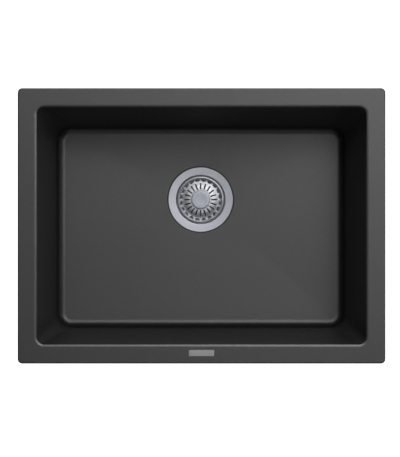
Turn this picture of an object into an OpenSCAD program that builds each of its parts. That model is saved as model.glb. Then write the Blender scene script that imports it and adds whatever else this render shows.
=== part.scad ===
// Kitchen sink of granite composite for a worktop cut-out, with its basket waste and its worktop clips.
// Sizes are in millimetres. The origin is the centre of the rim's underside, where it lies on the
// worktop. +X is to the right, +Y to the back and +Z up.

/* [Rim] */
// Width of the sink over its rim, left to right
sink_w = 610; // [560:1:760]
// Depth of the sink over its rim, front to back
sink_d = 457; // [430:1:520]
// Height of the rim above the worktop
rim_h = 10; // [9:0.5:14]
// Width of the rim, from its outer edge to the bowl's wall
rim_w = 32; // [31:0.5:50]
// Radius of the rim's corners, seen from above
corner_r = 8; // [8:0.5:25]
// Rounding of the rim's outer top edge
edge_round = 2.5; // [1:0.5:4]
// How far the rim laps over the edge of the worktop's cut-out
lap = 10; // [9:0.5:11]
// Width of the land between the rim's outer edge and the seal's groove
lip_w = 2; // [1.5:0.5:2.5]
// Width of the seal's groove
seal_w = 5; // [3:0.5:5.5]
// Depth of the seal's groove
groove_h = 2.5; // [1.5:0.5:4]
// Height of the relief under the rim, inside its seat
relief_h = 2; // [1:0.5:3]

/* [Bowl] */
// Depth of the bowl, from the rim's top to the edge of its floor
bowl_depth = 190; // [150:1:230]
// Radius of the bowl's upper corners, seen from above
opening_r = 12; // [10:1:30]
// Rounding of the lip between the rim's top and the bowl's wall
lip_round = 5; // [3:0.5:6]
// Thickness of the bowl's wall
wall_t = 10; // [8:0.5:10.5]
// Thickness of the bowl's floor at the drain
floor_t = 10; // [8:0.5:14]
// How far the wall leans in, from the opening to its foot
wall_inset = 20; // [10:0.5:30]
// Rounding between the wall and the floor
floor_round = 14; // [10:1:30]
// Corner radius of the flat floor, inside that rounding
foot_r = 12; // [3:1:20]
// Fall of the floor from its edge to the drain
floor_fall = 3; // [1:0.5:5]
// How far the drain lies behind the middle of the bowl
drain_y = 49; // [-60:1:55]

/* [Nameplate] */
// Width of the blank nameplate
plate_w = 42; // [20:1:80]
// Depth of the nameplate, front to back
plate_d = 10.5; // [6:0.5:14]
// Thickness of the nameplate
plate_t = 0.8; // [0.5:0.1:1.5]
// Corner radius of the nameplate
plate_r = 1.2; // [0.5:0.1:2]
// How far the nameplate's middle lies from the rim's front edge
plate_inset = 17.5; // [10:0.5:19]

/* [Drain flange and cup] */
// Radius of the drain flange
flange_r = 57; // [54:0.5:62]
// Radius of the flange's mouth
mouth_r = 44.4; // [42:0.2:47]
// Thickness of the flange's and the basket's steel
steel_t = 1; // [0.8:0.1:1.4]
// Rounding from the flange down into the cup
mouth_round = 1.9; // [1.5:0.1:3]
// Depth of the cup below the flange
cup_depth = 38; // [34:0.5:45]
// How much narrower the cup is at its foot than at its mouth
cup_taper = 1.5; // [0.5:0.1:2.5]
// Rounding at the cup's foot
cup_foot_round = 4; // [2:0.5:6]
// Number of slots in the cup's floor
cup_slots = 8; // [6:1:10]
// How far the flange lies below the floor around it
flange_sink = 0.8; // [0:0.1:1.5]
// Gap around the flange in its recess
recess_gap = 1.5; // [0.5:0.1:2.5]
// Gap between the cup and the bowl's hole
hole_gap = 1.5; // [1.5:0.1:3]
// Thickness of the seal under the flange
flange_seal_t = 2; // [1:0.5:3]
// Thickness of the seal under the bowl
under_seal_t = 3; // [2:0.5:4]
// Height of the pad under the bowl at the drain
pad_h = 2; // [1:0.5:5]

/* [Waste body] */
// Thickness of the waste body's plastic
body_t = 3; // [2.5:0.5:4]
// Gap between the cup and the waste body's wall
body_gap = 3.3; // [2:0.1:5]
// Height of the waste body's chamber below the cup
sump_h = 12; // [8:1:25]
// Height of the cone below the chamber
cone_h = 20; // [15:1:30]
// Radius of the waste body's outlet thread
outlet_r = 23.9; // [23.5:0.1:26]
// Length of the outlet thread
outlet_h = 22; // [18:1:30]
// Radius of the fixing screw
screw_r = 3; // [2.5:0.5:3.5]
// Radius of the fixing screw's head
screw_head_r = 6; // [5:0.5:7]
// Height of the fixing screw's head
screw_head_h = 3.6; // [3:0.2:4]
// Height of the fixing nut
screw_nut_h = 5; // [4:0.5:6]

/* [Tailpiece] */
// Radius of the tailpiece
pipe_r = 20; // [19:0.5:20.5]
// Wall of the tailpiece
pipe_t = 2; // [1.5:0.1:3]
// Length of the tailpiece below its bead
pipe_free = 42; // [30:1:120]
// Height of the tailpiece's bead
bead_h = 3; // [2:0.5:5]
// Height of the coupling nut
coupling_h = 20; // [16:1:26]
// Radius of the coupling nut
coupling_r = 30; // [28:0.5:34]
// Thickness of the outlet's seal
outlet_seal_t = 3; // [2:0.5:4]

/* [Basket] */
// Gap between the basket's rim and the cup
basket_gap = 0.8; // [0.5:0.1:1.5]
// Height of the basket
basket_h = 12; // [10:0.5:20]
// Radius of the basket's domed bottom
dome_r = 35.5; // [32:0.5:36]
// Rise of the dome
dome_rise = 4.5; // [4:0.5:9]
// Rounding between the dome and the basket's wall
trough_round = 1.8; // [1.4:0.1:2.5]
// Number of slots, and of windows
slot_count = 20; // [12:1:24]
// Radius at which the slots start
slot_in = 18.5; // [17:0.5:20]
// Radius at which the slots end
slot_out = 29.5; // [24:0.5:30]
// Width of the slots
slot_w = 2.4; // [1.5:0.1:3]
// Radius of the windows' rounded inner end
window_r = 5.5; // [4:0.1:5.5]
// Radius at which the windows start
window_in = 33; // [32:0.5:36]
// Height of the windows above the trough
window_h = 8; // [5:0.5:8.5]
// Width of the brim around the basket
brim_w = 2.5; // [2:0.5:4]
// How steeply the brim falls to its edge, in degrees
brim_fall = 12; // [0:1:20]
// Radius of the knob
knob_r = 16.3; // [13:0.1:16.5]
// Thickness of the knob's disc
knob_t = 3; // [2:0.5:4]
// Finger gap under the knob's disc, at the middle
knob_neck_h = 3.5; // [2:0.5:6]
// Radius of the basket's stem
stem_r = 5; // [4:0.5:6]
// Outer radius of the stopper's seal
stopper_r = 34; // [30:0.5:36]
// Thickness of the stopper's seal
stopper_seal_t = 4; // [3.5:0.5:5]
// Thickness of the stopper's plate
stopper_plate_t = 2; // [1.5:0.5:3]
// How far the basket lifts
basket_lift = 240; // [235:5:300]

/* [Clips] */
// How far the clips of the long sides lie from the middle
clip_x = 150; // [100:1:200]
// How far the clips of the short sides lie from the middle
clip_y = 100; // [60:1:150]
// Radius of the clips' studs
stud_r = 2.5; // [2:0.5:3]
// Thickness of the thinnest worktop that the clips hold
clamp_min = 20; // [18:1:30]
// How far the clips' nuts climb
clamp_travel = 15; // [10:1:20]
// Height of the bosses under the rim
boss_h = 8; // [6:0.5:10]
// Length of the bosses' threaded inserts
insert_h = 12; // [9:0.5:12]
// Width of a clip's arm
arm_w = 11; // [9:0.5:11.5]
// Thickness of a clip's arm
arm_t = 2.5; // [1.5:0.5:3]
// Reach of a clip's arm from its stud
arm_reach = 20; // [16:1:24]
// Height of the teeth at the arm's end
tooth_h = 5; // [3:0.5:6]
// Number of teeth at the arm's end
teeth = 4; // [3:1:5]
// Height of a clip's nut
nut_h = 8; // [7:0.5:10]

/* [Hidden] */
clip_count = 8;
$fn = 64;

// Colours, as the object shows them
granite = [0.16, 0.16, 0.165];
steel = [0.66, 0.68, 0.72];
zinc = [0.6, 0.61, 0.62];
brass_tone = [0.72, 0.58, 0.3];
rubber_tone = [0.06, 0.06, 0.06];
plastic_tone = [0.85, 0.85, 0.84];
dark_plastic = [0.2, 0.2, 0.21];

// Clearances, and how far a cutter or a joined solid runs past the face that it crosses
fit = 0.05;
play = 0.1;
swing_gap = 0.3;
seat_gap = 0.5;
past = 1;

// Bowl
opening_w = sink_w - 2 * rim_w;
opening_d = sink_d - 2 * rim_w;
floor_z = rim_h - bowl_depth;
low_z = floor_z - floor_fall;
under_z = low_z - floor_t;
pad_z = under_z - pad_h;
centre_inset = wall_inset + floor_round;
lip_z = rim_h - lip_round;
lean = lean_of(lip_round, floor_round, lip_round + centre_inset, lip_z - floor_z - floor_round);
shell_round = floor_round + wall_t;
shell_lean = lean_of(0, shell_round, wall_t + centre_inset, lip_z - under_z - shell_round);
lip_steps = 5;
round_steps = 7;
corner_steps = 8;
shell_steps = 5;
edge_steps = 5;

// Drain, down from the flange
flange_z = low_z - flange_sink;
recess_z = flange_z - steel_t - flange_seal_t;
cup_r = mouth_r - mouth_round;
cup_foot_r = cup_r - cup_taper;
cup_z = flange_z - cup_depth;
hole_r = cup_r + steel_t + hole_gap;
seal_in = hole_r + 1;
pad_r = flange_r + 7;
body_flange_r = flange_r + 3;
body_flange_t = body_t + 1;
body_z = pad_z - under_seal_t;
chamber_r = cup_r + steel_t + body_gap;
chamber_z = cup_z - steel_t - sump_h;
outlet_z = chamber_z - cone_h;
outlet_end_z = outlet_z - outlet_h;
slot_inner_r = 11;
slot_outer_r = 22;
slot_share = 0.6;

// Fixing screw and the waste body's hub
hub_r = 9;
hub_top_z = chamber_z + 4;
hub_h = 16;
hub_end_z = hub_top_z - hub_h;
screw_end_z = hub_end_z - 3;
screw_nut_r = 10 / 2 / cos(30);
rib_t = 3;
gusset_h = 10;
gusset_count = 8;

// Outlet, coupling nut and tailpiece
socket_gap = 0.4;
stop_h = 4;
pipe_top_z = outlet_z - stop_h - 0.5;
seal_z = outlet_end_z - outlet_seal_t;
coupling_floor_t = 3;
coupling_end_z = seal_z - coupling_floor_t;
coupling_bore = outlet_r + play;
flute_r = 2.5;
flute_count = 12;
bead_r = pipe_r + 2;
bead_z = coupling_end_z - 2;
pipe_shoulder_z = bead_z - bead_h;
pipe_end_z = pipe_shoulder_z - pipe_free;
pipe_chamfer = 1;

// Basket, up from the cup's floor
seat_lift = 0.2;
stopper_z = cup_z + seat_lift;
plate_z = stopper_z + stopper_seal_t;
plate_top_z = plate_z + stopper_plate_t;
seal_inner_r = 25;
stopper_plate_r = stopper_r - 6;
basket_drop = 1.5;
trough_z = flange_z - basket_drop - basket_h;
brim_round = 1.2;
basket_r = cup_r - cup_taper * basket_drop / cup_depth - basket_gap;
basket_rim_z = trough_z + basket_h;
dome_ball_r = (dome_r * dome_r + dome_rise * dome_rise) / (2 * dome_rise);
dome_angle = asin(dome_r / dome_ball_r);
dome_top_z = trough_z + dome_rise;
ball_z = dome_top_z - steel_t / 2 - dome_ball_r;
trough_x = (dome_ball_r + trough_round) * sin(dome_angle);
trough_y = ball_z + (dome_ball_r + trough_round) * cos(dome_angle);
brim_x = basket_r - brim_w;
brim_y = basket_rim_z - steel_t / 2 - brim_round;
wall_angle = 90 - lean_of(brim_round, trough_round, brim_x - trough_x, brim_y - trough_y);
thin_stem_r = 3;
knob_z = dome_top_z + knob_neck_h;
knob_top_z = knob_z + knob_t;
knob_neck_r = 8;
clip_grip = 0.3;
clip_ring_r = screw_head_r + 2.8;

// Worktop clips
stud_inset = (lap + rim_w - wall_t) / 2;
stud_x = sink_w / 2 - stud_inset;
stud_y = sink_d / 2 - stud_inset;
insert_r = stud_r + 1.5;
boss_r = insert_r + 2.5;
web_w = 9;
tooth_z = -clamp_min - clamp_travel;
arm_z = tooth_z - tooth_h - arm_t;
nut_z = arm_z - play;
nut_end_z = nut_z - nut_h;
stud_end_z = nut_end_z - 3;
collar_r = stud_r + 3.5;
collar_h = 2;
wing_reach = 10.5;
wing_t = 2;
wing_drop = 2.5;
clip_spots = [
    [stud_x, -clip_y, 0],
    [stud_x, clip_y, 0],
    [clip_x, stud_y, 90],
    [-clip_x, stud_y, 90],
    [-stud_x, clip_y, 180],
    [-stud_x, -clip_y, 180],
    [-clip_x, -stud_y, 270],
    [clip_x, -stud_y, 270]
];

// Angle off the vertical of the line that touches an upper round and a lower one on opposite sides.
// The rounds' centres lie "across" apart sideways and "down" apart in height.
function lean_of(upper, lower, across, down) =
    atan2(across, down) - asin((upper + lower) / norm([across, down]));

// Points on an arc, from one angle to another
function arc(x, y, r, from, to, steps) = [
    for (i = [0:steps])
        let (a = from + (to - from) * i / steps)
        [x + r * cos(a), y + r * sin(a)]
];

// A level ring around the bowl at this inset from its opening, with this corner radius
function ring(inset, r, z, steps) = [
    for (k = [0:3], i = [0:steps])
        let (
            a = 90 * (k + i / steps),
            side_x = (k == 0 || k == 3) ? 1 : -1,
            side_y = k < 2 ? 1 : -1
        )
        [
            side_x * (opening_w / 2 - inset - r) + r * cos(a),
            side_y * (opening_d / 2 - inset - r) + r * sin(a),
            z
        ]
];

// A line of points turned into the two faces of a sheet: each point is [radius, height, slope]
function sheet(line, t) = concat(
    [for (p = line) [p[0] - sin(p[2]) * t / 2, p[1] + cos(p[2]) * t / 2]],
    [for (i = [len(line) - 1:-1:0])
        let (p = line[i])
        [p[0] + sin(p[2]) * t / 2, p[1] - cos(p[2]) * t / 2]]
);

// A solid from rings of equal length, listed from the top down
module loft(rings) {
    m = len(rings[0]);
    last = len(rings) - 1;
    polyhedron(
        points = [for (r = rings) each r],
        faces = concat(
            [[for (i = [m - 1:-1:0]) i]],
            [for (k = [0:last - 1], i = [0:m - 1]) [k * m + i, k * m + (i + 1) % m, (k + 1) * m + (i + 1) % m]],
            [for (k = [0:last - 1], i = [0:m - 1]) [k * m + i, (k + 1) * m + (i + 1) % m, (k + 1) * m + i]],
            [[for (i = [0:m - 1]) last * m + i]]
        )
    );
}

// Carries a profile around a rounded rectangle. The profile's x counts from the corners' axes.
module around(w, d, r) {
    for (k = [0:3]) {
        reach = (k % 2 == 0 ? w : d) / 2 - r;
        along = (k % 2 == 0 ? d : w) / 2 - r;
        rotate([0, 0, 90 * k]) {
            translate([reach, 0, 0])
                rotate([90, 0, 0])
                    linear_extrude(height = 2 * along, center = true)
                        children();
            translate([reach, along, 0])
                rotate_extrude(angle = 90)
                    children();
        }
    }
}

// A slab with rounded corners, standing on z = 0
module slab(w, d, r, h) {
    translate([r - w / 2, r - d / 2, 0])
        cube([w - 2 * r, d - 2 * r, h]);
    around(w, d, r)
        square([r, h]);
}

// Places its children at the middle of the drain
module at_drain(z = 0) {
    translate([0, drain_y, z])
        children();
}

// Turns an outline of [radius, height] points around the drain's axis
module turned(points) {
    at_drain()
        rotate_extrude()
            polygon(points);
}

// Places its children on a clip's stud, with +X pointing away from the bowl
module at_clip(i) {
    spot = clip_spots[i - 1];
    translate([spot[0], spot[1], 0])
        rotate([0, 0, spot[2]])
            children();
}

// The rim before the bowl is cut: rounded outer edge, flat top, relief inside the seat
module rim_plate() {
    seat_inset = lap - seat_gap;
    difference() {
        union() {
            translate([corner_r - sink_w / 2, corner_r - sink_d / 2, 0])
                cube([sink_w - 2 * corner_r, sink_d - 2 * corner_r, rim_h]);
            around(sink_w, sink_d, corner_r)
                polygon(concat(
                    [[0, 0], [corner_r, 0]],
                    arc(corner_r - edge_round, rim_h - edge_round, edge_round, 0, 90, edge_steps),
                    [[0, rim_h]]
                ));
        }
        translate([0, 0, -past])
            slab(sink_w - 2 * seat_inset, sink_d - 2 * seat_inset, opening_r, relief_h + past);
    }
}

// Outside of the bowl, from inside the rim down to the flat underside
module shell() {
    loft(concat(
        [ring(-wall_t, opening_r + wall_t, lip_z, corner_steps)],
        [for (i = [0:shell_steps])
            let (a = shell_lean + (90 - shell_lean) * i / shell_steps)
            ring(
                centre_inset - shell_round * cos(a),
                foot_r + shell_round * cos(a),
                under_z + shell_round * (1 - sin(a)),
                corner_steps
            )]
    ));
}

// Inside of the bowl: flared lip, leaning wall and the rounding down to the floor
module hollow() {
    loft(concat(
        [ring(-lip_round, opening_r + lip_round, rim_h + past, corner_steps)],
        [for (i = [0:lip_steps])
            let (a = (90 - lean) * i / lip_steps, out = lip_round * (1 - sin(a)))
            ring(-out, opening_r + out, lip_z + lip_round * cos(a), corner_steps)],
        [for (i = [0:round_steps])
            let (a = lean + (90 - lean) * i / round_steps)
            ring(
                centre_inset - floor_round * cos(a),
                foot_r + floor_round * cos(a),
                floor_z + floor_round * (1 - sin(a)),
                corner_steps
            )]
    ));
}

// The floor's fall to the drain
module floor_slope() {
    hull() {
        translate([0, 0, floor_z])
            linear_extrude(height = past)
                polygon([for (p = ring(centre_inset, foot_r, 0, corner_steps)) [p[0], p[1]]]);
        at_drain(low_z)
            cylinder(r = flange_r + recess_gap + 2, h = past, $fn = 4 * corner_steps);
    }
}

// Boss for a clip's insert, with a web to the bowl's wall
module clip_boss() {
    web = rim_w - stud_inset - wall_t / 2;
    translate([0, 0, -boss_h])
        cylinder(r = boss_r, h = boss_h + relief_h + past);
    translate([-web, -web_w / 2, -boss_h])
        cube([web, web_w, boss_h + relief_h + past]);
}

module sink_bowl() {
    color(granite)
        difference() {
            union() {
                rim_plate();
                shell();
                at_drain(pad_z)
                    cylinder(r = pad_r, h = pad_h + past);
                for (i = [1:clip_count])
                    at_clip(i)
                        clip_boss();
            }
            hollow();
            floor_slope();
            around(sink_w, sink_d, corner_r)
                translate([corner_r - lip_w - seal_w, -past])
                    square([seal_w, groove_h + past]);
            at_drain(recess_z)
                cylinder(r = flange_r + recess_gap, h = low_z - recess_z + past);
            at_drain(pad_z - past)
                cylinder(r = hole_r, h = recess_z - pad_z + 2 * past);
            for (i = [1:clip_count])
                at_clip(i)
                    translate([0, 0, -boss_h - past])
                        cylinder(r = insert_r + fit, h = insert_h + past);
        }
}

module rim_seal() {
    color(rubber_tone)
        around(sink_w, sink_d, corner_r)
            translate([corner_r - lip_w - seal_w + play, 0])
                square([seal_w - 2 * play, groove_h]);
}

module nameplate() {
    color(steel)
        translate([0, plate_inset - sink_d / 2, rim_h]) {
            slab(plate_w, plate_d, plate_r, plate_t / 2);
            translate([0, 0, plate_t / 2])
                slab(plate_w - plate_t, plate_d - plate_t, plate_r - plate_t / 4, plate_t / 2);
        }
}

module clip_inserts() {
    color(brass_tone)
        for (i = [1:clip_count])
            at_clip(i)
                translate([0, 0, -boss_h])
                    difference() {
                        cylinder(r = insert_r, h = insert_h);
                        translate([0, 0, -past])
                            cylinder(r = stud_r + fit, h = insert_h);
                    }
}

module clip_studs() {
    tip = 1;
    color(zinc)
        for (i = [1:clip_count])
            at_clip(i) {
                translate([0, 0, stud_end_z])
                    cylinder(r1 = stud_r - tip, r2 = stud_r, h = tip);
                translate([0, 0, stud_end_z + tip])
                    cylinder(r = stud_r, h = insert_h - boss_h - past - fit - stud_end_z - tip);
            }
}

module clip_nut(i) {
    color(zinc)
        at_clip(i)
            difference() {
                union() {
                    translate([0, 0, nut_z - collar_h])
                        cylinder(r = collar_r, h = collar_h);
                    translate([0, 0, nut_end_z])
                        cylinder(r = collar_r - 1.2, h = nut_h);
                    for (side = [0, 180])
                        rotate([0, 0, side])
                            clip_wing();
                }
                translate([0, 0, nut_end_z - past])
                    cylinder(r = stud_r + play, h = nut_h + 2 * past);
            }
}

// One wing of a clip's nut: a rounded ear that hangs a little below the nut
module clip_wing() {
    ear_r = 3.5;
    ear_y = wing_reach - ear_r;
    ear_z = nut_end_z + ear_r - wing_drop;
    translate([wing_t / 2, 0, 0])
        rotate([0, -90, 0])
            linear_extrude(height = wing_t) {
                translate([ear_z, ear_y])
                    circle(r = ear_r);
                polygon([
                    [nut_end_z, stud_r + 1],
                    [ear_z - ear_r * cos(40), ear_y - ear_r * sin(40) / 2],
                    [ear_z + ear_r * cos(40), ear_y + ear_r * sin(40)],
                    [nut_z - collar_h - 1, stud_r + 1]
                ]);
            }
}

module clip_arm(i) {
    notch = arm_w / teeth;
    color(zinc)
        at_clip(i)
            translate([0, 0, arm_z])
                difference() {
                    union() {
                        cylinder(r = arm_w / 2, h = arm_t);
                        translate([-arm_w / 2, -arm_reach, 0])
                            cube([arm_w, arm_reach, arm_t]);
                        translate([-arm_w / 2, -arm_reach, 0])
                            cube([arm_w, arm_t, arm_t + tooth_h]);
                    }
                    translate([0, 0, -past])
                        cylinder(r = stud_r + swing_gap, h = arm_t + 2 * past);
                    for (k = [1:teeth - 1])
                        translate([k * notch - arm_w / 2, past - arm_reach + arm_t, arm_t + tooth_h])
                            rotate([90, 0, 0])
                                linear_extrude(height = arm_t + 2 * past)
                                    polygon([[0, -notch / 2], [notch / 2, past / 2], [-notch / 2, past / 2]]);
                }
}

module drain_flange() {
    slot_turn = 360 / cup_slots;
    foot_x = cup_foot_r - cup_foot_round;
    foot_y = cup_z + cup_foot_round;
    mouth_z = flange_z - mouth_round;
    edge = steel_t * 0.4;
    color(steel)
        difference() {
            turned(concat(
                arc(flange_r - edge, flange_z - edge, edge, 0, 90, 3),
                arc(mouth_r, mouth_z, mouth_round, 90, 180, 6),
                arc(foot_x, foot_y, cup_foot_round, 0, -90, 6),
                [[screw_r + swing_gap, cup_z], [screw_r + swing_gap, cup_z - steel_t]],
                arc(foot_x, foot_y, cup_foot_round + steel_t, -90, 0, 6),
                arc(mouth_r, mouth_z, mouth_round - steel_t, 180, 90, 4),
                [[flange_r, flange_z - steel_t]]
            ));
            for (k = [1:cup_slots])
                at_drain(cup_z - steel_t - past)
                    rotate([0, 0, k * slot_turn])
                        rotate_extrude(angle = slot_share * slot_turn)
                            translate([slot_inner_r, 0])
                                square([slot_outer_r - slot_inner_r, steel_t + 2 * past]);
        }
}

module flange_seal() {
    color(rubber_tone)
        turned([
            [seal_in, recess_z],
            [flange_r - 1, recess_z],
            [flange_r - 1, recess_z + flange_seal_t],
            [seal_in, recess_z + flange_seal_t]
        ]);
}

module under_seal() {
    color(rubber_tone)
        turned([
            [seal_in, body_z],
            [body_flange_r, body_z],
            [body_flange_r, pad_z],
            [seal_in, pad_z]
        ]);
}

module waste_body() {
    wall_r = chamber_r + body_t;
    color(plastic_tone) {
        turned([
            [chamber_r, body_z],
            [body_flange_r, body_z],
            [body_flange_r, body_z - body_flange_t],
            [wall_r, body_z - body_flange_t],
            [wall_r, chamber_z],
            [chamber_r, chamber_z]
        ]);
        for (k = [1:gusset_count])
            at_drain(body_z - body_flange_t)
                rotate([90, 0, 360 / gusset_count * k])
                    linear_extrude(height = rib_t, center = true)
                        polygon([
                            [wall_r - body_t / 2, body_t / 2],
                            [body_flange_r - 2, body_t / 2],
                            [body_flange_r - 2, 0],
                            [wall_r, -gusset_h],
                            [wall_r - body_t / 2, -gusset_h]
                        ]);
    }
}

// Foot of the waste body: the cone and the threaded outlet
module waste_funnel() {
    bore_r = pipe_r - pipe_t;
    color(plastic_tone)
        turned([
            [chamber_r, chamber_z],
            [chamber_r + body_t, chamber_z],
            [outlet_r, outlet_z],
            [outlet_r, outlet_end_z],
            [pipe_r + socket_gap, outlet_end_z],
            [pipe_r + socket_gap, outlet_z - stop_h],
            [bore_r, outlet_z - stop_h],
            [bore_r, outlet_z]
        ]);
}

// Hub of the waste body on its four ribs, with the fixing screw's bore and the nut's pocket
module waste_hub() {
    bore_r = pipe_r - pipe_t;
    hub_share = (chamber_z - hub_end_z) / cone_h;
    rib_end_r = chamber_r + (bore_r - chamber_r) * hub_share;
    color(plastic_tone)
        difference() {
            union() {
                at_drain(hub_end_z)
                    cylinder(r = hub_r, h = hub_h);
                for (k = [0:3])
                    at_drain()
                        rotate([90, 0, 45 + 90 * k])
                            linear_extrude(height = rib_t, center = true)
                                polygon([
                                    [screw_nut_r + 1, hub_end_z],
                                    [rib_end_r - play, hub_end_z],
                                    [chamber_r - play, chamber_z],
                                    [chamber_r - play, hub_top_z - 2],
                                    [screw_nut_r + 1, hub_top_z - 2]
                                ]);
            }
            at_drain(hub_end_z - past)
                cylinder(r = screw_r + swing_gap, h = hub_h + 2 * past);
            at_drain(hub_end_z - past)
                cylinder(r = screw_nut_r + fit, h = screw_nut_h + past, $fn = 6);
        }
}

module fixing_screw() {
    crown = 1;
    cross_w = 1.2;
    cross_h = 2;
    color(steel)
        difference() {
            turned(concat(
                [[0, screw_end_z], [screw_r - 0.5, screw_end_z], [screw_r, screw_end_z + 0.5]],
                [[screw_r, cup_z], [screw_head_r, cup_z]],
                arc(screw_head_r - crown, cup_z + screw_head_h - crown, crown, 0, 90, 4),
                [[0, cup_z + screw_head_h]]
            ));
            for (turn = [45, 135])
                at_drain(cup_z + screw_head_h - cross_h / 2)
                    rotate([0, 0, turn])
                        cube([screw_head_r, cross_w, cross_h + fit], center = true);
        }
}

module fixing_nut() {
    color(brass_tone)
        at_drain(hub_end_z)
            difference() {
                cylinder(r = screw_nut_r, h = screw_nut_h, $fn = 6);
                translate([0, 0, -past])
                    cylinder(r = screw_r + fit, h = screw_nut_h + 2 * past);
            }
}

module coupling_nut() {
    top_z = coupling_end_z + coupling_h;
    color(plastic_tone)
        difference() {
            turned([
                [coupling_bore, top_z],
                [coupling_r - 1, top_z],
                [coupling_r, top_z - 1],
                [coupling_r, coupling_end_z + 2],
                [coupling_r - 2, coupling_end_z],
                [pipe_r + 2 * socket_gap, coupling_end_z],
                [pipe_r + 2 * socket_gap, seal_z],
                [coupling_bore, seal_z]
            ]);
            for (k = [1:flute_count])
                at_drain(coupling_end_z - past)
                    rotate([0, 0, k * 360 / flute_count])
                        translate([coupling_r + flute_r / 2, 0, 0])
                            cylinder(r = flute_r, h = coupling_h + 2 * past, $fn = 32);
        }
}

module outlet_seal() {
    color(rubber_tone)
        turned([
            [pipe_r + fit, seal_z],
            [outlet_r - play, seal_z],
            [outlet_r - play, outlet_end_z - outlet_seal_t / 2],
            [outlet_r - outlet_seal_t / 2, outlet_end_z],
            [pipe_r + fit, outlet_end_z]
        ]);
}

module tailpiece() {
    bore_r = pipe_r - pipe_t;
    color(plastic_tone)
        turned([
            [bore_r, pipe_top_z],
            [pipe_r, pipe_top_z],
            [pipe_r, bead_z],
            [bead_r, bead_z],
            [bead_r, pipe_shoulder_z],
            [pipe_r, pipe_shoulder_z],
            [pipe_r, pipe_end_z + pipe_chamfer],
            [pipe_r - pipe_chamfer, pipe_end_z],
            [bore_r, pipe_end_z]
        ]);
}

// Middle line of the basket's sheet: dome, trough and wall, each point with its slope
function basket_line() =
    let (first = thin_stem_r + fit)
    concat(
        [for (i = [0:10])
            let (a = asin(first / dome_ball_r) * (1 - i / 10) + dome_angle * i / 10)
            [dome_ball_r * sin(a), ball_z + dome_ball_r * cos(a), -a]],
        [for (i = [1:6])
            let (a = (wall_angle + dome_angle) * i / 6 - dome_angle)
            [trough_x + trough_round * sin(a), trough_y - trough_round * cos(a), a]],
        [for (i = [0:5])
            let (a = wall_angle - (wall_angle + brim_fall) * i / 5)
            [brim_x - brim_round * sin(a), brim_y + brim_round * cos(a), a]],
        [[basket_r, brim_y + brim_round / cos(brim_fall) - brim_w * tan(brim_fall), -brim_fall]]
    );

module basket() {
    turn = 360 / slot_count;
    window_x = window_in + window_r;
    color(steel)
        difference() {
            turned(sheet(basket_line(), steel_t));
            for (k = [1:slot_count])
                at_drain(trough_z - steel_t)
                    rotate([0, 0, k * turn]) {
                        translate([slot_in + slot_w / 2, -slot_w / 2, 0])
                            cube([slot_out - slot_in - slot_w, slot_w, 2 * dome_rise + steel_t]);
                        translate([slot_in + slot_w / 2, 0, 0])
                            cylinder(r = slot_w / 2, h = 2 * dome_rise + steel_t, $fn = 24);
                        translate([slot_out - slot_w / 2, 0, 0])
                            cylinder(r = slot_w / 2, h = 2 * dome_rise + steel_t, $fn = 24);
                    }
            for (k = [1:slot_count])
                at_drain(trough_z - 2 * steel_t)
                    rotate([0, 0, (k + 0.5) * turn])
                        translate([window_x, 0, 0])
                            cylinder(r = window_r, h = window_h + 2 * steel_t, $fn = 48);
        }
}

module basket_knob() {
    edge = 1;
    dish_r = knob_r - 7;
    dish_h = 0.4;
    color(steel)
        turned(concat(
            [[0, dome_top_z + steel_t / 2], [knob_neck_r, dome_top_z], [knob_neck_r, knob_z]],
            arc(knob_r - edge, knob_z + edge, edge, -90, 0, 4),
            arc(knob_r - edge, knob_top_z - edge, edge, 0, 90, 4),
            [[dish_r, knob_top_z], [dish_r - 1, knob_top_z - dish_h], [0, knob_top_z - dish_h]]
        ));
}

module basket_stem() {
    color(steel)
        turned([
            [0, plate_top_z],
            [stem_r, plate_top_z],
            [stem_r, dome_top_z - 1.5 * steel_t],
            [thin_stem_r, dome_top_z - 1.5 * steel_t],
            [thin_stem_r, dome_top_z],
            [0, dome_top_z]
        ]);
}

module stopper_plate() {
    color(dark_plastic)
        turned([
            [0, plate_z],
            [stopper_plate_r, plate_z],
            [stopper_plate_r, plate_top_z - 0.5],
            [stopper_plate_r - 0.5, plate_top_z],
            [0, plate_top_z]
        ]);
}

module stopper_seal() {
    lip = 1;
    color(rubber_tone)
        turned([
            [seal_inner_r, stopper_z + 1],
            [stopper_r - 3, stopper_z + 1],
            [stopper_r - 1, stopper_z],
            [stopper_r, stopper_z],
            [stopper_r, stopper_z + lip],
            [stopper_r - 3, plate_z],
            [seal_inner_r, plate_z]
        ]);
}

module stem_clip() {
    slit = 1.5;
    color(dark_plastic)
        difference() {
            turned([
                [screw_head_r + clip_grip, cup_z + 2 * seat_lift],
                [clip_ring_r, cup_z + 2 * seat_lift],
                [clip_ring_r, plate_z],
                [screw_head_r + clip_grip, plate_z]
            ]);
            for (turn = [0, 90])
                at_drain(cup_z)
                    rotate([0, 0, turn])
                        translate([-clip_ring_r - past, -slit / 2, 0])
                            cube([2 * clip_ring_r + 2 * past, slit, stopper_seal_t - 1]);
        }
}

sink_bowl();
rim_seal();
nameplate();
clip_inserts();
clip_studs();
drain_flange();
flange_seal();
under_seal();
waste_body();
waste_funnel();
waste_hub();
fixing_screw();
fixing_nut();
coupling_nut();
outlet_seal();
tailpiece();
basket();
basket_knob();
basket_stem();
stopper_plate();
stopper_seal();
stem_clip();
for (i = [1:clip_count]) {
    clip_nut(i);
    clip_arm(i);
}
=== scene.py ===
"""The looks of the granite sink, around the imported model.

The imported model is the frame. Smooth detailed pieces take the place of six of its nodes, and every node gets
its material. Sizes are millimetres, but those of the camera, the lamps, the floor and the textures are
metres, as in the frame. The sizes of the bowl, the waste and the basket repeat the part's own, because this
script reads nothing but the frame.
"""

import math

import bmesh
import bpy
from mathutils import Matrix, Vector
from mathutils.geometry import delaunay_2d_cdt


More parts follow.
